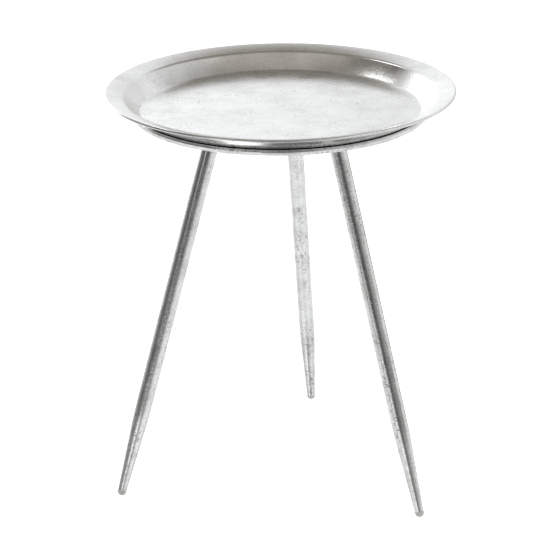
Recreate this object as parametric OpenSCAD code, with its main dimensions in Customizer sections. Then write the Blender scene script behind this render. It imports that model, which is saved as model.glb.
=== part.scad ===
// Round tray table: a loose spun tray with a flared rim, seated inside a ring of
// round bar on a support disc, on three splayed, tapered tube legs.
// Origin: on the floor, under the centre of the tray. +Z is up.

/* [Table] */
// Height of the tray's lip above the floor
table_h = 455; // [420:1:520]
// Diameter over the tray's rolled lip
tray_d = 380; // [360:1:420]

/* [Tray] */
// Depth of the tray from its lip to its floor
tray_depth = 22.4; // [20:0.2:26]
// Width of the flatter outer flange, lip included
flange_w = 17.5; // [14:0.5:22]
// Slope of the outer flange
flange_slope = 15; // [10:1:20]
// Diameter of the flat floor
floor_d = 304; // [296:1:308]
// Thickness of the tray's sheet
tray_t = 1.0; // [0.8:0.1:1.1]
// Radius of the rolled lip
lip_r = 1.7; // [1.6:0.1:2]

/* [Support disc and ring] */
// Thickness of the disc
disc_t = 1.3; // [1:0.1:2]
// Diameter of the ring's round bar
ring_bar_d = 4.6; // [4:0.2:6]
// Gap between the tray's wall and the ring
nest_gap = 0.4; // [0.3:0.1:2]
// Distance of the seat pads from the centre
pad_ring_r = 124; // [100:1:130]
// Diameter of one seat pad
pad_d = 16; // [10:1:20]

/* [Legs] */
// Number of legs
leg_count = 3; // [3:1:3]
// Diameter of the leg tube
leg_d = 18; // [16:0.5:20]
// Wall of the leg tube
leg_wall = 1.2; // [1:0.1:1.5]
// Distance of a foot from the centre, on the floor
foot_r = 196; // [185:1:205]
// Distance of a leg's axis from the centre, at the disc
hip_r = 72; // [65:1:85]
// Length of the tapered lower end
taper_len = 96; // [80:1:120]
// Diameter of the tube at its lower end
toe_d = 10; // [9:0.5:11]

/* [Leg mounting] */
// Diameter of the round plate under the disc
plate_d = 48; // [46:1:54]
// Thickness of that plate
plate_t = 2.5; // [2:0.5:4]
// Length of the angled boss on the plate
boss_len = 22; // [20:1:30]
// Diameter of the boss where it meets the plate
boss_top_d = 24; // [22:1:25]
// Nominal diameter of the leg's stud
stud_d = 8; // [6:1:8]
// Length of the stud
stud_len = 36; // [30:1:36]
// Diameter of a rivet's shank
rivet_d = 4; // [3:0.5:4]

/* [Hidden] */

$fn = 96;
bend_steps = 8;      // flats along a bend in the sheet
roll_steps = 24;     // flats round a rolled edge
fit_gap = 0.05;      // radial gap round a pressed or threaded piece
seat_gap = 0.3;      // air under the tray, over the pads that it rests on
pad_t = 1;           // thickness of a seat pad

// Tray: its sheet is drawn along its middle line
floor_z = table_h - tray_depth;
tray_mid_z = floor_z - tray_t / 2;
lip_mid_r = lip_r - tray_t / 2;
lip_centre = [tray_d / 2 - lip_r, table_h - lip_r];
lip_end = flange_slope - 175;    // angle at which the roll's edge meets the flange again
floor_bend_r = 3;
flange_bend_r = 7;
floor_bend_at = [floor_d / 2, tray_mid_z + floor_bend_r];
flange_line_at = lip_centre + lip_mid_r * [-sin(flange_slope), cos(flange_slope)];
flange_bend_at = flange_line_at
    - (flange_w - lip_r) * [1, tan(flange_slope)]
    - flange_bend_r * [-sin(flange_slope), cos(flange_slope)];

// Slope of the straight wall, which is tangent to both bends
wall_run = flange_bend_at - floor_bend_at;
wall_slope = atan2(wall_run[1], wall_run[0])
    + asin((floor_bend_r + flange_bend_r) / norm(wall_run));
wall_foot = floor_bend_at + floor_bend_r * [sin(wall_slope), -cos(wall_slope)];

// Ring and disc: the pads lie on the disc, and the ring stands round the tray's wall
disc_top_z = floor_z - tray_t - seat_gap - pad_t;
disc_under_z = disc_top_z - disc_t;
ring_z = disc_top_z + ring_bar_d / 2;
ring_centre = [
    wall_foot[0] + (ring_z - wall_foot[1]) / tan(wall_slope)
        + (tray_t / 2 + nest_gap + ring_bar_d / 2) / sin(wall_slope),
    ring_z
];
disc_r = ring_centre[0] + ring_bar_d / 2 - 0.2;

// Legs: each stands on its foot point and leans in to the hip
splay = atan((foot_r - hip_r) / disc_under_z);
plate_under_z = disc_under_z - plate_t;
plate_r = foot_r - plate_under_z * tan(splay);
boss_top = plate_under_z / cos(splay);
boss_end = boss_top - boss_len;
collar_t = 2;        // collar of the insert, between boss and tube
tube_top = boss_end - collar_t;
tube_end = 6;        // height of the tube's end above the floor, along the leg
insert_len = 20;
insert_d = leg_d - 2 * leg_wall - 2 * fit_gap;
shoulder_len = 24;   // length over which the straight tube eases into its taper
rivet_ring_r = 17.5;
rivet_head_d = 7;
rivet_head_t = 0.8;
hole_play = 1;       // room past the end of the stud in a blind hole
glide_ball = 4;      // height of the glide's round nose above the floor, along the leg
glide_plug = 12;

// Points of a sheet's middle line: [radius, height, direction of travel]
function bend(centre, r, from, to, steps) = [
    for (i = [0:steps])
        let (a = from + (to - from) * i / steps, turn = from > to ? -90 : 90)
        [centre[0] + r * cos(a), centre[1] + r * sin(a), a + turn]
];
function side(path, gap) = [
    for (p = path) [max(0, p[0] - gap * sin(p[2])), p[1] + gap * cos(p[2])]
];
function reversed(list) = [for (i = [len(list) - 1:-1:0]) list[i]];

// Closed outline of a sheet of thickness t along the middle line
function sheet(path, t) = concat(side(path, t / 2), reversed(side(path, -t / 2)));

function tray_line() = concat(
    [[0, tray_mid_z, 0]],
    bend(floor_bend_at, floor_bend_r, -90, wall_slope - 90, bend_steps),
    bend(flange_bend_at, flange_bend_r, wall_slope + 90, flange_slope + 90, bend_steps),
    bend(lip_centre, lip_mid_r, flange_slope + 90, lip_end, roll_steps)
);

// A round piece, turned from half of its outline
module turned(outline) {
    rotate_extrude() polygon(outline);
}

module hoop(centre, r) {
    rotate_extrude() translate(centre) circle(r = r, $fn = 32);
}

// Frame of leg i: z runs up the leg's axis from its foot point
module on_leg(i) {
    rotate(90 + (i - 1) * 360 / leg_count)
        translate([foot_r, 0, 0])
            rotate([0, -splay, 0]) children();
}

// Frame of leg i's plate, upright, at the underside of the plate
module on_plate(i) {
    rotate(90 + (i - 1) * 360 / leg_count) translate([plate_r, 0, plate_under_z]) children();
}

module at_rivets() {
    for (a = [60:120:300]) rotate(a) translate([rivet_ring_r, 0, 0]) children();
}

module tray_shell() {
    color("silver") turned(sheet(tray_line(), tray_t));
}

module tray_lip_wire() {
    color("dimgray") hoop(lip_centre, lip_r - tray_t - fit_gap);
}

module support_disc() {
    color("silver") difference() {
        translate([0, 0, disc_under_z]) cylinder(r = disc_r, h = disc_t);
        for (i = [1:leg_count]) on_plate(i) at_rivets()
            cylinder(d = rivet_d + 2 * fit_gap, h = plate_t + 2 * disc_t);
    }
}

module seat_ring() {
    color("silver") hoop(ring_centre, ring_bar_d / 2);
}

module seat_pad(i) {
    color("darkslategray") rotate(30 + (i - 1) * 360 / leg_count)
        translate([pad_ring_r, 0, disc_top_z]) cylinder(d = pad_d, h = pad_t);
}

module mount_plate(i) {
    color("gray") on_plate(i) difference() {
        cylinder(d = plate_d, h = plate_t);
        at_rivets() translate([0, 0, -1]) cylinder(d = rivet_d + 2 * fit_gap, h = plate_t + 2);
    }
}

module plate_rivets() {
    color("lightgray") for (i = [1:leg_count]) on_plate(i) at_rivets() {
        cylinder(d = rivet_d, h = plate_t + disc_t);
        translate([0, 0, plate_t + disc_t])
            cylinder(d1 = rivet_head_d, d2 = rivet_head_d - 2, h = rivet_head_t);
        translate([0, 0, -rivet_head_t])
            cylinder(d1 = rivet_head_d - 2, d2 = rivet_head_d, h = rivet_head_t);
    }
}

module leg_boss(i) {
    stock = plate_d;
    color("gray") difference() {
        on_leg(i) translate([0, 0, boss_end])
            cylinder(d1 = leg_d, d2 = boss_top_d, h = boss_len + boss_top_d / 2 * tan(splay));
        on_plate(i) translate([-stock / 2, -stock / 2, 0]) cube(stock);
        on_leg(i) translate([0, 0, boss_end - 1])
            cylinder(d = stud_d + 2 * fit_gap, h = 1 + stud_len / 2 + hole_play);
    }
}

module leg_stud(i) {
    color("darkgray") on_leg(i) translate([0, 0, boss_end - stud_len / 2])
        cylinder(d = stud_d, h = stud_len);
}

module leg_insert(i) {
    color("gray") on_leg(i) difference() {
        union() {
            translate([0, 0, tube_top]) cylinder(d = leg_d, h = collar_t);
            translate([0, 0, tube_top - insert_len]) cylinder(d = insert_d, h = insert_len + 1);
        }
        translate([0, 0, boss_end - stud_len / 2 - hole_play])
            cylinder(d = stud_d + 2 * fit_gap, h = stud_len);
    }
}

// Radius of the tube's outside at height s along the leg
toe_slope = (leg_d - toe_d) / 2 / (taper_len - tube_end);
function tube_r(s) =
    s > taper_len + shoulder_len / 2 ? leg_d / 2 :
    s < taper_len - shoulder_len / 2 ? leg_d / 2 - (taper_len - s) * toe_slope :
    leg_d / 2 - toe_slope * pow(taper_len + shoulder_len / 2 - s, 2) / 2 / shoulder_len;

module leg_tube(i) {
    stops = concat(
        [tube_end],
        [for (k = [0:bend_steps]) taper_len + shoulder_len * (k / bend_steps - 0.5)],
        [tube_top]
    );
    outside = [for (s = stops) [tube_r(s), s]];
    inside = [for (s = stops) [tube_r(s) - leg_wall, s]];
    color("gainsboro") on_leg(i) turned(concat(outside, reversed(inside)));
}

module foot_glide(i) {
    floor_size = 2 * tray_d;
    color("slategray") intersection() {
        on_leg(i) union() {
            intersection() {
                translate([0, 0, glide_ball]) sphere(d = toe_d);
                translate([0, 0, glide_ball - toe_d]) cylinder(d = 2 * toe_d, h = toe_d);
            }
            translate([0, 0, glide_ball]) cylinder(d = toe_d, h = tube_end - glide_ball);
            translate([0, 0, glide_ball])
                cylinder(d = toe_d - 2 * leg_wall - 2 * fit_gap, h = glide_plug);
        }
        translate([-floor_size / 2, -floor_size / 2, 0]) cube([floor_size, floor_size, table_h / 10]);
    }
}

tray_shell();
tray_lip_wire();
support_disc();
seat_ring();
seat_pad(1);  // seat_pad_1
seat_pad(2);  // seat_pad_2
seat_pad(3);  // seat_pad_3
mount_plate(1);  // mount_plate_1
mount_plate(2);  // mount_plate_2
mount_plate(3);  // mount_plate_3
plate_rivets();
leg_boss(1);  // leg_boss_1
leg_boss(2);  // leg_boss_2
leg_boss(3);  // leg_boss_3
leg_stud(1);  // leg_stud_1
leg_stud(2);  // leg_stud_2
leg_stud(3);  // leg_stud_3
leg_insert(1);  // leg_insert_1
leg_insert(2);  // leg_insert_2
leg_insert(3);  // leg_insert_3
leg_tube(1);  // leg_tube_1
leg_tube(2);  // leg_tube_2
leg_tube(3);  // leg_tube_3
foot_glide(1);  // foot_glide_1
foot_glide(2);  // foot_glide_2
foot_glide(3);  // foot_glide_3
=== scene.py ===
import bmesh
import bpy
import math
from mathutils import Matrix, Quaternion, Vector, noise


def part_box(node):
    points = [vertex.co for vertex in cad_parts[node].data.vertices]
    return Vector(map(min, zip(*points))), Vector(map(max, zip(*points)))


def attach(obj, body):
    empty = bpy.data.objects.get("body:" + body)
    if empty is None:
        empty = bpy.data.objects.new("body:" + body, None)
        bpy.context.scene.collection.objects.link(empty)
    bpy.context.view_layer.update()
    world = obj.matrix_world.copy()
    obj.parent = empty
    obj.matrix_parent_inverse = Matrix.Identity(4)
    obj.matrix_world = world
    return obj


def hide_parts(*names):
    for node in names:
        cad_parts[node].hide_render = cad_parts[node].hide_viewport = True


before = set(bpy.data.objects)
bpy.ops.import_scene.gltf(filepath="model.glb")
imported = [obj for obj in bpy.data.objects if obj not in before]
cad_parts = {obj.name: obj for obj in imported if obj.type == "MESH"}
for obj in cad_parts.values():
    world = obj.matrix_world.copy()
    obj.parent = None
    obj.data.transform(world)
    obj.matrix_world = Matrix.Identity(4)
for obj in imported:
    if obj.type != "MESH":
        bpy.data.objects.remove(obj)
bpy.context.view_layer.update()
print("frame loaded:", len(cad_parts), "nodes")

mm = 0.001
fullTurn = 2 * math.pi


# Outline helpers: an outline is a list of (radius, height) points in metres

def arc(centre, radius, start, end, steps):
    points = []
    for i in range(steps + 1):
        a = math.radians(start + (end - start) * i / steps)
        points.append((centre[0] + radius * math.cos(a), centre[1] + radius * math.sin(a)))
    return points


def along(start, end, steps):
    # the points strictly between two others
    return [
        (start[0] + (end[0] - start[0]) * i / steps, start[1] + (end[1] - start[1]) * i / steps)
        for i in range(1, steps)
    ]


# The middle line of a sheet is a list of (radius, height, heading in degrees)

def sheetOutline(middle, thickness):
    def side(gap):
        return [
            (max(0.0, r - gap * math.sin(math.radians(h))), z + gap * math.cos(math.radians(h)))
            for r, z, h in middle
        ]
    return side(thickness / 2) + side(-thickness / 2)[::-1]


def bend(centre, radius, start, end, steps):
    turn = -90 if start > end else 90
    points = []
    for i in range(steps + 1):
        a = start + (end - start) * i / steps
        c, s = math.cos(math.radians(a)), math.sin(math.radians(a))
        points.append((centre[0] + radius * c, centre[1] + radius * s, a + turn))
    return points


def straight(start, end, steps):
    heading = math.degrees(math.atan2(end[1] - start[1], end[0] - start[0]))
    return [(r, z, heading) for r, z in along(start, end, steps)]


def bowed(start, end, steps, rise):
    # as straight, but arched by rise at mid-length
    span = math.hypot(end[0] - start[0], end[1] - start[1])
    lean = math.atan2(end[1] - start[1], end[0] - start[0])
    points = []
    for i, (r, z, heading) in enumerate(straight(start, end, steps), 1):
        t = i / steps
        lift = 4 * rise * t * (1 - t)
        turned = heading + math.degrees(math.atan(4 * rise * (1 - 2 * t) / span))
        points.append((r - lift * math.sin(lean), z + lift * math.cos(lean), turned))
    return points


# Turned pieces

def lathe(name, outline, segments, closed=False, sharpAngle=35):
    onAxis = 1e-7
    verts, rings = [], []
    for r, z in outline:
        if r < onAxis:
            rings.append([len(verts)] * segments)
            verts.append((0, 0, z))
        else:
            rings.append(list(range(len(verts), len(verts) + segments)))
            for k in range(segments):
                a = fullTurn * k / segments
                verts.append((r * math.cos(a), r * math.sin(a), z))
    faces = []
    pairs = list(zip(rings, rings[1:]))
    if closed:
        pairs.append((rings[-1], rings[0]))
    for lower, upper in pairs:
        for k in range(segments):
            n = (k + 1) % segments
            corners = [lower[k], lower[n], upper[n], upper[k]]
            corners = [c for i, c in enumerate(corners) if c not in corners[:i]]
            if len(corners) > 2:
                faces.append(corners)
    mesh = bpy.data.meshes.new(name)
    mesh.from_pydata(verts, [], faces)
    mesh.validate()
    mesh.shade_smooth()
    mesh.set_sharp_from_angle(angle=math.radians(sharpAngle))
    piece = bpy.data.objects.new(name, mesh)
    bpy.context.scene.collection.objects.link(piece)
    faceOutwards(piece)
    return piece


def faceOutwards(piece):
    work = bmesh.new()
    work.from_mesh(piece.data)
    bmesh.ops.recalc_face_normals(work, faces=work.faces)
    work.to_mesh(piece.data)
    work.free()


def waver(piece, depth, wavelength, offset):
    # spun sheet is never quite true; the shift depends on the place, so both faces move together
    for v in piece.data.vertices:
        place = Vector((v.co.x, v.co.y, 0)) / wavelength + Vector(offset)
        v.co.z += depth * noise.noise(place)


# Node helpers

def newMaterial(name):
    material = bpy.data.materials.new(name)
    material.use_nodes = True
    tree = material.node_tree
    return material, tree, tree.nodes["Principled BSDF"]


def node(tree, kind, settings=None, inputs=None):
    made = tree.nodes.new(kind)
    for key, value in (settings or {}).items():
        setattr(made, key, value)
    for key, value in (inputs or {}).items():
        if isinstance(value, bpy.types.NodeSocket):
            tree.links.new(value, made.inputs[key])
        else:
            made.inputs[key].default_value = value
    return made


def grey(v):
    return (v, v, v)


def ramp(tree, value, stops):
    # a stop is a place from 0 to 1 and a colour, or one number for a grey
    made = node(tree, "ShaderNodeValToRGB", inputs={"Fac": value})
    elements = made.color_ramp.elements
    while len(elements) < len(stops):
        elements.new(0.5)
    for element, (place, tone) in zip(elements, stops):
        colour = tone if isinstance(tone, tuple) else grey(tone)
        element.position = place
        element.color = (*colour, 1)
    return made.outputs["Color"]


def spread(tree, value, low, high, fromLow=0.0, fromHigh=1.0):
    made = node(tree, "ShaderNodeMapRange", inputs={
        "Value": value, "From Min": fromLow, "From Max": fromHigh, "To Min": low, "To Max": high})
    return made.outputs[0]


def noiseAt(tree, coords, size, detail=4, rough=0.55, stretch=(1, 1, 1), distortion=0):
    scaled = node(tree, "ShaderNodeMapping", inputs={0: coords, "Scale": stretch})
    made = node(tree, "ShaderNodeTexNoise", inputs={
        "Vector": scaled.outputs[0], "Scale": 1 / size, "Detail": detail,
        "Roughness": rough, "Distortion": distortion})
    return made.outputs["Fac"]


def mixed(tree, kind, factor, a, b):
    a, b = ((*c, 1) if isinstance(c, tuple) else c for c in (a, b))
    settings = {"data_type": "RGBA", "blend_type": kind}
    return node(tree, "ShaderNodeMix", settings, {0: factor, 6: a, 7: b}).outputs[2]


def calc(tree, kind, a, b=0.0):
    return node(tree, "ShaderNodeMath", {"operation": kind}, {0: a, 1: b}).outputs[0]


def objectCoords(tree):
    return node(tree, "ShaderNodeTexCoord").outputs["Object"]


# Silver leaf over spun sheet: cloudy tarnish, torn flakes, dark pinholes in clusters, and painted shade
# darkened into the creases
trayFinish = {
    "silver": (0.91, 0.91, 0.905), "cloudDark": (0.84, 0.84, 0.83), "cloudLight": (0.95, 0.95, 0.945),
    "bare": (0.55, 0.545, 0.53),  # what shows where the leaf has rubbed away
    "cloudSize": 30 * mm, "cloudStops": (0.3, 0.5, 0.72),
    "streakSize": 2.6 * mm, "streakDark": 0.7, "streakStrength": 0.16, "streakStretch": (0.3, 1, 1),
    "grainSize": 1.6 * mm, "grainDark": 0.72, "grainStrength": 0.3,
    "flakeSize": 13 * mm, "flakeDark": 0.8, "flakeStrength": 0.22, "flakeRough": 0.04,
    "flakeWarp": 4 * mm, "flakeWarpSize": 20 * mm, "flakeDisorder": 0.9,
    "speckSize": 2.4 * mm, "speckStart": 0.63, "speckEdge": 0.05, "speckRough": 0.18, "speckDepth": 0.5,
    "clusterSize": 26 * mm, "clusterStops": ((0.42, 0.12), (0.62, 1)),
    "roughLow": 0.13, "roughHigh": 0.22,
    "rippleSize": 2.6 * mm, "bumpStrength": 0.5, "bumpDepth": 0.13 * mm,
    # the crease values set the painted shade: how far the occlusion reaches and how dark creases and gaps
    # are painted
    "creaseReach": 6 * mm, "creaseFrom": 0.15, "creaseTo": 0.65, "creaseDark": 0.14,
}
standFinish = dict(
    trayFinish, silver=(0.86, 0.86, 0.85), cloudDark=(0.72, 0.72, 0.705), bare=(0.46, 0.455, 0.445),
    cloudSize=22 * mm, speckSize=3.0 * mm, speckStart=0.57, clusterSize=38 * mm,
    roughLow=0.12, roughHigh=0.24, grainStrength=0.4, streakStrength=0.3,
    # the stand gets a shorter and lighter painted crease shade
    bumpDepth=0.17 * mm, creaseReach=3 * mm, creaseDark=0.6)


def leafFlakes(tree, coords, look):
    # squarish torn leaves, each with its own value from 0 to 1
    drift = node(tree, "ShaderNodeTexNoise", inputs={"Vector": coords, "Scale": 1 / look["flakeWarpSize"]})
    drift = node(tree, "ShaderNodeVectorMath", {"operation": "SCALE"}, {
        0: drift.outputs["Color"], "Scale": look["flakeWarp"]})
    warped = node(tree, "ShaderNodeVectorMath", {"operation": "ADD"}, {0: coords, 1: drift.outputs[0]})
    flakes = node(tree, "ShaderNodeTexVoronoi", {"distance": "CHEBYCHEV"}, {
        "Vector": warped.outputs[0], "Scale": 1 / look["flakeSize"], "Randomness": look["flakeDisorder"]})
    return node(tree, "ShaderNodeSeparateColor", inputs={0: flakes.outputs["Color"]}).outputs[0]


def leafSpecks(tree, coords, look):
    specks = noiseAt(tree, coords, look["speckSize"], 2, 0.5)
    clusters = noiseAt(tree, coords, look["clusterSize"], 2, 0.5)
    start = look["speckStart"]
    return calc(tree, "MULTIPLY",
                ramp(tree, specks, [(start, 0), (start + look["speckEdge"], 1)]),
                ramp(tree, clusters, look["clusterStops"]))


def silverLeaf(name, look):
    material, tree, shader = newMaterial(name)
    coords = objectCoords(tree)
    clouds = noiseAt(tree, coords, look["cloudSize"], 5, 0.6)
    cloudTones = (look["cloudDark"], look["silver"], look["cloudLight"])
    tone = ramp(tree, clouds, list(zip(look["cloudStops"], cloudTones)))
    streaks = noiseAt(tree, coords, look["streakSize"], 3, 0.6, look["streakStretch"])
    streaks = ramp(tree, streaks, [(0.36, look["streakDark"]), (0.5, 1)])
    tone = mixed(tree, "MULTIPLY", look["streakStrength"], tone, streaks)
    grain = noiseAt(tree, coords, look["grainSize"], 3, 0.6)
    grain = ramp(tree, grain, [(0.3, look["grainDark"]), (0.6, 1)])
    tone = mixed(tree, "MULTIPLY", look["grainStrength"], tone, grain)
    flakes = leafFlakes(tree, coords, look)
    flakeTone = ramp(tree, flakes, [(0, look["flakeDark"]), (1, 1)])
    tone = mixed(tree, "MULTIPLY", look["flakeStrength"], tone, flakeTone)
    worn = leafSpecks(tree, coords, look)
    tone = mixed(tree, "MIX", worn, tone, look["bare"])
    # painted shade: ambient occlusion darkens the colour in creases and gaps, where shade falls
    crease = node(tree, "ShaderNodeAmbientOcclusion", inputs={"Distance": look["creaseReach"]})
    creaseShadeStops = [(look["creaseFrom"], look["creaseDark"]), (look["creaseTo"], 1)]
    tone = mixed(tree, "MULTIPLY", 1.0, tone, ramp(tree, crease.outputs["AO"], creaseShadeStops))
    tree.links.new(tone, shader.inputs["Base Color"])

    rough = spread(tree, clouds, look["roughHigh"], look["roughLow"], 0.3, 0.7)
    rough = calc(tree, "ADD", rough, calc(tree, "MULTIPLY", worn, look["speckRough"]))
    rough = calc(tree, "ADD", rough, calc(tree, "MULTIPLY", flakes, look["flakeRough"]))
    tree.links.new(rough, shader.inputs["Roughness"])
    shader.inputs["Metallic"].default_value = 1.0

    ripple = noiseAt(tree, coords, look["rippleSize"], 4, 0.6)
    height = calc(tree, "ADD", ripple, calc(tree, "MULTIPLY", worn, -look["speckDepth"]))
    bump = node(tree, "ShaderNodeBump", inputs={
        "Height": height, "Strength": look["bumpStrength"], "Distance": look["bumpDepth"]})
    tree.links.new(bump.outputs[0], shader.inputs["Normal"])
    return material


# Zinc plated steel of the studs, inserts and lip wire
zincFinish = {
    "dark": (0.42, 0.42, 0.41), "light": (0.6, 0.6, 0.59), "patchSize": 9 * mm, "grainSize": 0.8 * mm,
    "roughLow": 0.3, "roughHigh": 0.5,
}


def plainSteel(name, look):
    material, tree, shader = newMaterial(name)
    coords = objectCoords(tree)
    patches = noiseAt(tree, coords, look["patchSize"], 5, 0.6)
    tone = ramp(tree, patches, [(0.3, look["dark"]), (0.7, look["light"])])
    tree.links.new(tone, shader.inputs["Base Color"])
    rough = spread(tree, noiseAt(tree, coords, look["grainSize"], 3), look["roughLow"], look["roughHigh"])
    tree.links.new(rough, shader.inputs["Roughness"])
    shader.inputs["Metallic"].default_value = 1.0
    return material


# Felt of the three seat pads
feltFinish = {
    "dark": (0.035, 0.035, 0.037), "light": (0.11, 0.11, 0.115),
    "fibre": 1.2 * mm, "fibreStretch": (1, 0.4, 1), "fibreCurl": 1.5,
    "bumpStrength": 0.8, "bumpDepth": 0.3 * mm, "rough": 0.95,
}


def felt(name, look):
    material, tree, shader = newMaterial(name)
    coords = objectCoords(tree)
    fibres = noiseAt(tree, coords, look["fibre"], 6, 0.75, look["fibreStretch"], look["fibreCurl"])
    tone = ramp(tree, fibres, [(0.3, look["dark"]), (0.7, look["light"])])
    tree.links.new(tone, shader.inputs["Base Color"])
    bump = node(tree, "ShaderNodeBump", inputs={
        "Height": fibres, "Strength": look["bumpStrength"], "Distance": look["bumpDepth"]})
    tree.links.new(bump.outputs[0], shader.inputs["Normal"])
    shader.inputs["Roughness"].default_value = look["rough"]
    return material


# Moulded plastic of the foot glides
glideFinish = {
    "dark": (0.24, 0.24, 0.235), "light": (0.34, 0.34, 0.33), "patchSize": 4 * mm, "grainSize": 0.4 * mm,
    "roughLow": 0.35, "roughHigh": 0.55, "bumpStrength": 0.4, "bumpDepth": 0.05 * mm,
}


def mouldedPlastic(name, look):
    material, tree, shader = newMaterial(name)
    coords = objectCoords(tree)
    patches = noiseAt(tree, coords, look["patchSize"], 4)
    tone = ramp(tree, patches, [(0.3, look["dark"]), (0.7, look["light"])])
    tree.links.new(tone, shader.inputs["Base Color"])
    grain = noiseAt(tree, coords, look["grainSize"], 3)
    rough = spread(tree, grain, look["roughLow"], look["roughHigh"])
    tree.links.new(rough, shader.inputs["Roughness"])
    bump = node(tree, "ShaderNodeBump", inputs={
        "Height": grain, "Strength": look["bumpStrength"], "Distance": look["bumpDepth"]})
    tree.links.new(bump.outputs[0], shader.inputs["Normal"])
    return material


leafOnTray = silverLeaf("silverLeafTray", trayFinish)
leafOnStand = silverLeaf("silverLeafStand", standFinish)
zincSteel = plainSteel("zincSteel", zincFinish)
greyFelt = felt("greyFelt", feltFinish)
glidePlastic = mouldedPlastic("glidePlastic", glideFinish)
print("materials made")


def dress(piece, material):
    piece.data.materials.clear()
    piece.data.materials.append(material)


def finishPiece(piece, material, body, nodeName):
    dress(piece, material)
    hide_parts(nodeName)
    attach(piece, body)


# Tray: flat floor, wall, flatter flange and a lip rolled round its wire
traySize = {
    "sheet": 1.0 * mm, "flangeWidth": 17.5 * mm, "flangeSlope": 15, "floorRadius": 152 * mm,
    "lipRadius": 1.7 * mm, "lipTurn": 265, "floorBend": 3 * mm, "flangeBend": 7 * mm,
    "flangeCrown": 0.2 * mm, "wallHollow": 0.35 * mm,  # how far flange and wall bow from straight
    "waver": 0.10 * mm, "waverLength": 70 * mm, "waverOffset": (7.3, 3.1, 5.7),
    "segments": 288, "floorSteps": 40, "sideSteps": 16, "bendSteps": 12, "flangeBendSteps": 14,
    "lipSteps": 36,
}


def trayMiddle(size, lipCentre, middleZ):
    # middle line of the sheet, from the centre of the floor to the end of the rolled lip
    slope = math.radians(size["flangeSlope"])
    lipMiddle = size["lipRadius"] - size["sheet"] / 2
    floorBend, flangeBend = size["floorBend"], size["flangeBend"]
    floorBendAt = (size["floorRadius"], middleZ + floorBend)
    reach = size["flangeWidth"] - size["lipRadius"]
    flangeBendAt = (
        lipCentre[0] - lipMiddle * math.sin(slope) - reach + flangeBend * math.sin(slope),
        lipCentre[1] + lipMiddle * math.cos(slope) - reach * math.tan(slope) - flangeBend * math.cos(slope))
    run = (flangeBendAt[0] - floorBendAt[0], flangeBendAt[1] - floorBendAt[1])
    wall = math.degrees(math.atan2(run[1], run[0]) + math.asin((floorBend + flangeBend) / math.hypot(*run)))
    top = size["flangeSlope"] + 90
    lower = bend(floorBendAt, floorBend, -90, wall - 90, size["bendSteps"])
    upper = bend(flangeBendAt, flangeBend, wall + 90, top, size["flangeBendSteps"])
    lip = bend(lipCentre, lipMiddle, top, top - size["lipTurn"], size["lipSteps"])
    floor = [(0.0, middleZ, 0.0)] + straight((0.0, middleZ), lower[0], size["floorSteps"])
    side = bowed(lower[-1], upper[0], size["sideSteps"], -size["wallHollow"])
    flange = bowed(upper[-1], lip[0], size["sideSteps"], size["flangeCrown"])
    return floor + lower + side + upper + flange + lip


def makeTray(size):
    low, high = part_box("tray_shell")
    lipCentre = (high.x - size["lipRadius"], high.z - size["lipRadius"])
    middle = trayMiddle(size, lipCentre, low.z + size["sheet"] / 2)
    tray = lathe("trayShell", sheetOutline(middle, size["sheet"]), size["segments"])
    waver(tray, size["waver"], size["waverLength"], size["waverOffset"])
    finishPiece(tray, leafOnTray, "tray", "tray_shell")
    dress(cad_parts["tray_lip_wire"], zincSteel)
    print("tray made")


makeTray(traySize)


# Disc and ring that the tray sits in; the solder between them is dressed into one outward curve
seatSize = {
    "tuck": 88, "filletTop": 6, "filletFoot": 20,  # places round the bar, in degrees below level
    "overlap": 0.05 * mm,
    "segments": 256, "flatSteps": 24, "innerSteps": 14, "filletSteps": 12, "ringSteps": 32,
}


def makeSeat(size):
    discLow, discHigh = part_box("support_disc")
    ringLow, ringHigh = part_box("seat_ring")
    bar = (ringHigh.z - ringLow.z) / 2
    centre = (ringHigh.x - bar, ringLow.z + bar)
    top, foot = size["filletTop"], size["filletFoot"]
    sinTop, sinFoot = math.sin(math.radians(top)), math.sin(math.radians(foot))
    curve = (centre[1] - bar * sinTop - discLow.z) / (sinFoot - sinTop)
    hub = (centre[0] - (curve - bar) * math.cos(math.radians(top)), discLow.z + curve * sinFoot)
    outline = [(0, discHigh.z)] + along((0, discHigh.z), (centre[0], discHigh.z), size["flatSteps"])
    outline += arc(centre, bar - size["overlap"], -size["tuck"], -top, size["innerSteps"])
    outline += arc(hub, curve, -top, -foot, size["filletSteps"])
    outline += along((outline[-1][0], discLow.z), (0, discLow.z), size["flatSteps"]) + [(0, discLow.z)]
    disc = lathe("supportDisc", outline, size["segments"])
    finishPiece(disc, leafOnStand, "stand", "support_disc")

    ringOutline = arc(centre, bar, 0, 360, size["ringSteps"])[:-1]
    ring = lathe("seatRing", ringOutline, size["segments"], closed=True)
    finishPiece(ring, leafOnStand, "stand", "seat_ring")
    for i in (1, 2, 3):
        dress(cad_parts[f"seat_pad_{i}"], greyFelt)
    print("disc and ring made")


makeSeat(seatSize)


# Legs
legSize = {
    "count": 3, "firstAt": 90, "footRadius": 196 * mm, "hipRadius": 72 * mm,
    "diameter": 18 * mm, "wall": 1.2 * mm, "toe": 10 * mm, "taper": 96 * mm,
    "shoulder": 24 * mm,  # length over which the straight tube eases into the taper
    "tubeEnd": 6 * mm, "bossLength": 22 * mm, "collar": 2 * mm, "segments": 72, "rows": 90,
}
legParts = {
    "leg_boss": leafOnStand, "mount_plate": leafOnStand, "leg_stud": zincSteel, "leg_insert": zincSteel,
    "foot_glide": glidePlastic,
}


def legPlace(i, size):
    # from a leg's own axis, with its foot at 0, to its place; and its splay from upright
    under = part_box("support_disc")[0].z
    splay = math.atan2(size["footRadius"] - size["hipRadius"], under)
    step = 360 / size["count"]
    turn = Matrix.Rotation(math.radians(size["firstAt"] + step * (i - 1)), 4, "Z")
    lean = Matrix.Rotation(-splay, 4, "Y")
    return turn @ Matrix.Translation((size["footRadius"], 0, 0)) @ lean, splay


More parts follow.
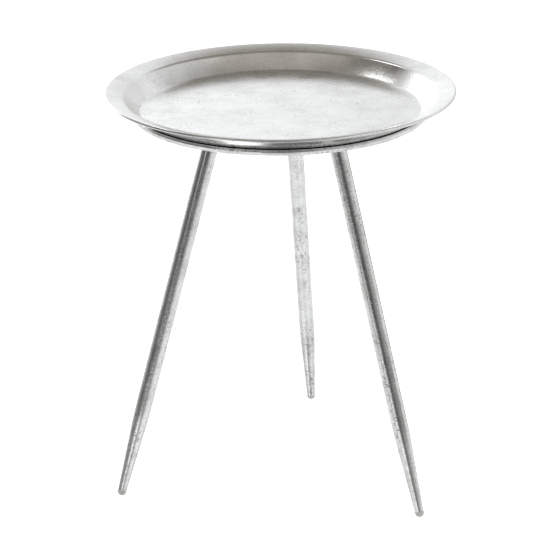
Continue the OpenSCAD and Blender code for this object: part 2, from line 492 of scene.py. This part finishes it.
def tubeRadius(s, size):
    full = size["diameter"] / 2
    fall = (size["diameter"] - size["toe"]) / 2 / (size["taper"] - size["tubeEnd"])
    half = size["shoulder"] / 2
    if s > size["taper"] + half:
        return full
    if s < size["taper"] - half:
        return full - (size["taper"] - s) * fall
    return full - fall * (size["taper"] + half - s) ** 2 / 2 / size["shoulder"]


def makeLeg(i, size):
    place, splay = legPlace(i, size)
    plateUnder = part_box(f"mount_plate_{i}")[0].z
    end, rows = size["tubeEnd"], size["rows"]
    top = plateUnder / math.cos(splay) - size["bossLength"] - size["collar"]
    heights = [end + (top - end) * k / rows for k in range(rows + 1)]
    outside = [(tubeRadius(s, size), s) for s in heights]
    inside = [(r - size["wall"], s) for r, s in outside]
    tube = lathe(f"legTube{i}", outside + inside[::-1], size["segments"], closed=True)
    tube.data.transform(place)
    finishPiece(tube, leafOnStand, "stand", f"leg_tube_{i}")
    for part, material in legParts.items():
        dress(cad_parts[f"{part}_{i}"], material)


for legNumber in range(1, legSize["count"] + 1):
    makeLeg(legNumber, legSize)
dress(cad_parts["plate_rivets"], leafOnStand)
print("legs made")


# Camera
view = {
    "azimuth": 10.2, "elevation": 21.3, "distance": 2.37, "roll": -0.58, "target": (0, 0, 0.2267),
    "lens": 138.4, "sensor": 36, "shift": (-0.0132, 0.0171), "clip": (0.05, 60),
}


def towards(around, elevation):
    # unit vector from the table to a place seen at these angles
    a, e = math.radians(around), math.radians(elevation)
    return Vector((math.sin(a) * math.cos(e), -math.cos(a) * math.cos(e), math.sin(e)))


def makeCamera(v):
    data = bpy.data.cameras.new("tableCamera")
    data.lens, data.sensor_width = v["lens"], v["sensor"]
    data.shift_x, data.shift_y = v["shift"]
    data.clip_start, data.clip_end = v["clip"]
    camera = bpy.data.objects.new("tableCamera", data)
    bpy.context.scene.collection.objects.link(camera)
    back = towards(v["azimuth"], v["elevation"])
    aim = (-back).to_track_quat("-Z", "Y").to_matrix().to_4x4()
    spot = Matrix.Translation(Vector(v["target"]) + back * v["distance"])
    camera.matrix_world = spot @ aim @ Matrix.Rotation(math.radians(v["roll"]), 4, "Z")
    bpy.context.scene.camera = camera


# Softbox behind the table on the left, whose mirror image lies on the wall of the tray
keyLight = {
    "around": -129.5,  # degrees from the camera, minus to its left
    "elevation": 48.5, "roll": 50, "distance": 1.8, "aimHeight": 0.4,
    "width": 0.52, "height": 0.10, "brightness": 20.8,  # watts per square metre of lamp
}


def makeSoftbox(name, lamp):
    away = towards(view["azimuth"] + lamp["around"], lamp["elevation"])
    data = bpy.data.lights.new(name, "AREA")
    data.shape, data.size, data.size_y = "RECTANGLE", lamp["width"], lamp["height"]
    data.energy = lamp["brightness"] * lamp["width"] * lamp["height"]
    light = bpy.data.objects.new(name, data)
    bpy.context.scene.collection.objects.link(light)
    light.location = Vector((0, 0, lamp["aimHeight"])) + away * lamp["distance"]
    light.rotation_mode = "QUATERNION"
    turn = Quaternion((0, 0, 1), math.radians(lamp["roll"]))
    light.rotation_quaternion = (-away).to_track_quat("-Z", "Y") @ turn
    light.visible_camera = False


# Pale floor with pale walls round it; the metal mirrors the sky below instead of them
studioPaint = {"reach": 12, "wallHeight": 7, "tone": 0.9, "glow": 0.8, "rough": 0.9}


def makeFloor(paint):
    reach = paint["reach"]
    corners = [(-reach, -reach), (reach, -reach), (reach, reach), (-reach, reach)]
    walls = [(k, (k + 1) % 4, (k + 1) % 4 + 4, k + 4) for k in range(4)]
    verts = [(x, y, z) for z in (0, paint["wallHeight"]) for x, y in corners]
    mesh = bpy.data.meshes.new("studioFloor")
    mesh.from_pydata(verts, [], [(0, 1, 2, 3)] + walls)
    floor = bpy.data.objects.new("studioFloor", mesh)
    bpy.context.scene.collection.objects.link(floor)
    material, tree, shader = newMaterial("studioFloorPaint")
    shader.inputs["Base Color"].default_value = (*grey(paint["tone"]), 1)
    shader.inputs["Roughness"].default_value = paint["rough"]
    shader.inputs["Emission Color"].default_value = (1, 1, 1, 1)
    shader.inputs["Emission Strength"].default_value = paint["glow"]
    dress(floor, material)
    floor.visible_glossy = False


def tinted(v, tint):
    return tuple(v * c for c in tint)


# What the metal mirrors. "around" is in degrees round the table, 0 at the camera and minus to its left;
# "above" is in degrees over the horizon; "across", "depth" and "height" are parts of a unit direction,
# with x to the camera's right, y away from it and z up. A stop is a place and a tone.
warm, cool = (1.06, 1.0, 0.89), (0.985, 1.0, 1.01)
sky = {
    # tones level with the table
    "round": [
        (-180, tinted(1.03, cool)), (-174, tinted(1.14, cool)), (-166, tinted(1.3, cool)),
        (-158, tinted(1.8, cool)), (-130, tinted(1.8, cool)), (-122, 0.34), (-100, 0.20), (-66, 0.10),
        (6, 0.09), (16, 0.22), (28, 0.40), (42, 0.60), (62, 0.72), (80, 0.80), (110, 0.84), (155, 0.80),
        (172, 0.80),
        (180, tinted(1.03, cool))],
    # narrow light panel on the left, and a brighter one low beside it
    "panel": {
        "around": [(-49, 0), (-46, 0.8), (-34, 0.8), (-30, 0)],
        "above": [(-1, 0), (2, 1), (34, 1), (38, 0)]},
    "lowPanel": {
        "around": [(-46, 0), (-42, 1.9), (-14, 1.9), (-11, 0)],
        "above": [(-90, 0), (-30, 0), (-22, 1), (-15, 1), (-10, 0)]},
    # pale floor in front, whose edge runs aslant
    "frontFloor": {
        "around": [(-150, 0), (-130, 0.6), (-100, 0.42), (-60, 0.3), (-20, 0.55), (14, 0.55), (24, 0)],
        "above": [(-20, 0.8), (-15, 1), (-10, 0)]},
    "frontFloorSlant": 0.12,
    # dark stand on the right, level with the table
    "darkStand": {
        "around": [(16, 0), (26, 1), (68, 1), (84, 0)],
        "above": [(-3, 0), (-1, 1), (3, 1), (6, 0)]},
    "darkStandTone": grey(0.11),
    # ceiling over the ring of tones, and the pale sweep that hangs behind
    "ceilingStart": [(21, 0), (31, 1)],
    "ceilingAcross": [
        (-1, 0.15), (-0.65, tinted(0.27, warm)), (-0.48, tinted(0.37, warm)), (-0.3, tinted(0.38, warm)),
        (0, tinted(0.34, warm)), (0.25, tinted(0.35, warm)), (0.47, tinted(0.42, warm)), (0.66, 0.95),
        (0.76, 1.2), (1, 1.2)],
    "ceilingDepth": [(-0.34, 1.15), (-0.2, 1.0), (-0.02, 0.62), (0.5, 0.62)],
    "sweepAbove": [
        (20, tinted(1.03, cool)), (26, tinted(1.0, cool)), (32, tinted(0.94, cool)), (36, 0.80), (40, 0.54),
        (44, tinted(0.38, warm)), (50, tinted(0.25, warm)), (60, tinted(0.21, warm))],
    "sweepDepth": [(0.4, 0), (0.68, 1)],
    # darker far floor, which draws a thin outline round pale edges
    "farFloorTone": grey(0.28),
    "farFloorAbove": [(-21, 0), (-17, 1), (-9, 1), (-4, 0)],
    "farFloorDepth": [(0.55, 0), (0.8, 1)],
    # floor under the table and nearer, in front of it and behind
    "floorStart": [(-20, 1), (-15, 0)],
    "floorFront": [
        (-90, 0.14), (-72, 0.16), (-61, 0.38), (-54, tinted(1.0, cool)), (-30, tinted(0.96, cool)),
        (-20, 0.76)],
    "floorBehind": [(-90, 0.14), (-64, 0.16), (-50, 0.45), (-36, 0.84), (-24, 0.97)],
    "floorTurn": [(-0.15, 0), (0.15, 1)],
    # streak of light across that floor, left of the middle: distance from a plane, and how low
    "streakTone": grey(2.2),
    "streakPlane": (0.899, -0.3425, -0.271),
    "streakSide": [(-0.10, 0), (-0.07, 1), (0.07, 1), (0.10, 0)],
    "streakHeight": [(-0.88, 1), (-0.82, 0)],
    # straight in front the dark reaches further down
    "shade": {"around": [(-16, 0), (-11, 1), (12, 1), (18, 0)], "above": [(-50, 0), (-30, 1)]},
}


def makeWorld(sky):
    world = bpy.data.worlds.new("studioWorld")
    bpy.context.scene.world = world
    world.use_nodes = True
    tree = world.node_tree
    tree.nodes.clear()
    direction = node(tree, "ShaderNodeTexCoord").outputs["Generated"]
    turned = node(tree, "ShaderNodeVectorRotate", {"rotation_type": "Z_AXIS"}, {
        "Vector": direction, "Angle": math.radians(-view["azimuth"])}).outputs[0]
    parts = node(tree, "ShaderNodeSeparateXYZ", inputs={0: turned})
    across, depth, height = parts.outputs["X"], parts.outputs["Y"], parts.outputs["Z"]
    degrees = 180 / math.pi
    nearer = calc(tree, "MULTIPLY", depth, -1)
    around = calc(tree, "MULTIPLY", calc(tree, "ARCTAN2", across, nearer), degrees)
    above = calc(tree, "MULTIPLY", calc(tree, "ARCSINE", height), degrees)

    def level(value, stops, span=1):
        # tone at a value between -span and span
        place = spread(tree, value, 0.0, 1.0, -span, span)
        return ramp(tree, place, [((at + span) / (2 * span), tone) for at, tone in stops])

    def zone(name, aboveValue=above):
        sideways = level(around, sky[name]["around"], 180)
        upright = level(aboveValue, sky[name]["above"], 90)
        return mixed(tree, "MULTIPLY", 1.0, sideways, upright)

    # level with the table
    colour = mixed(tree, "MIX", zone("darkStand"), level(around, sky["round"], 180), sky["darkStandTone"])
    slanted = calc(tree, "ADD", above, calc(tree, "MULTIPLY", around, sky["frontFloorSlant"]))
    for light in (zone("panel"), zone("lowPanel"), zone("frontFloor", slanted)):
        colour = mixed(tree, "LIGHTEN", 1.0, colour, light)
    # above it
    sideways, backwards = level(across, sky["ceilingAcross"]), level(depth, sky["ceilingDepth"])
    ceiling = mixed(tree, "MULTIPLY", 1.0, sideways, backwards)
    sweep = level(above, sky["sweepAbove"], 90)
    ceiling = mixed(tree, "MIX", level(depth, sky["sweepDepth"]), ceiling, sweep)
    colour = mixed(tree, "MIX", level(above, sky["ceilingStart"], 90), colour, ceiling)
    # and below
    farHeight, farDepth = level(above, sky["farFloorAbove"], 90), level(depth, sky["farFloorDepth"])
    colour = mixed(tree, "MIX", calc(tree, "MULTIPLY", farHeight, farDepth), colour, sky["farFloorTone"])
    front, behind = level(above, sky["floorFront"], 90), level(above, sky["floorBehind"], 90)
    floor = mixed(tree, "MIX", level(depth, sky["floorTurn"]), front, behind)
    fromPlane = node(tree, "ShaderNodeVectorMath", {"operation": "DOT_PRODUCT"}, {
        0: turned, 1: sky["streakPlane"]}).outputs["Value"]
    streak = calc(tree, "MULTIPLY", level(fromPlane, sky["streakSide"]), level(height, sky["streakHeight"]))
    floor = mixed(tree, "MIX", streak, floor, sky["streakTone"])
    lit = calc(tree, "SUBTRACT", 1, zone("shade"))
    floorShare = calc(tree, "MULTIPLY", level(above, sky["floorStart"], 90), lit)
    colour = mixed(tree, "MIX", floorShare, colour, floor)
    background = node(tree, "ShaderNodeBackground", inputs={"Color": colour, "Strength": 1.0})
    node(tree, "ShaderNodeOutputWorld", inputs={"Surface": background.outputs[0]})


makeCamera(view)
makeFloor(studioPaint)
makeWorld(sky)
makeSoftbox("keyLeft", keyLight)
bpy.context.scene.view_settings.view_transform = "Standard"
print("studio made")
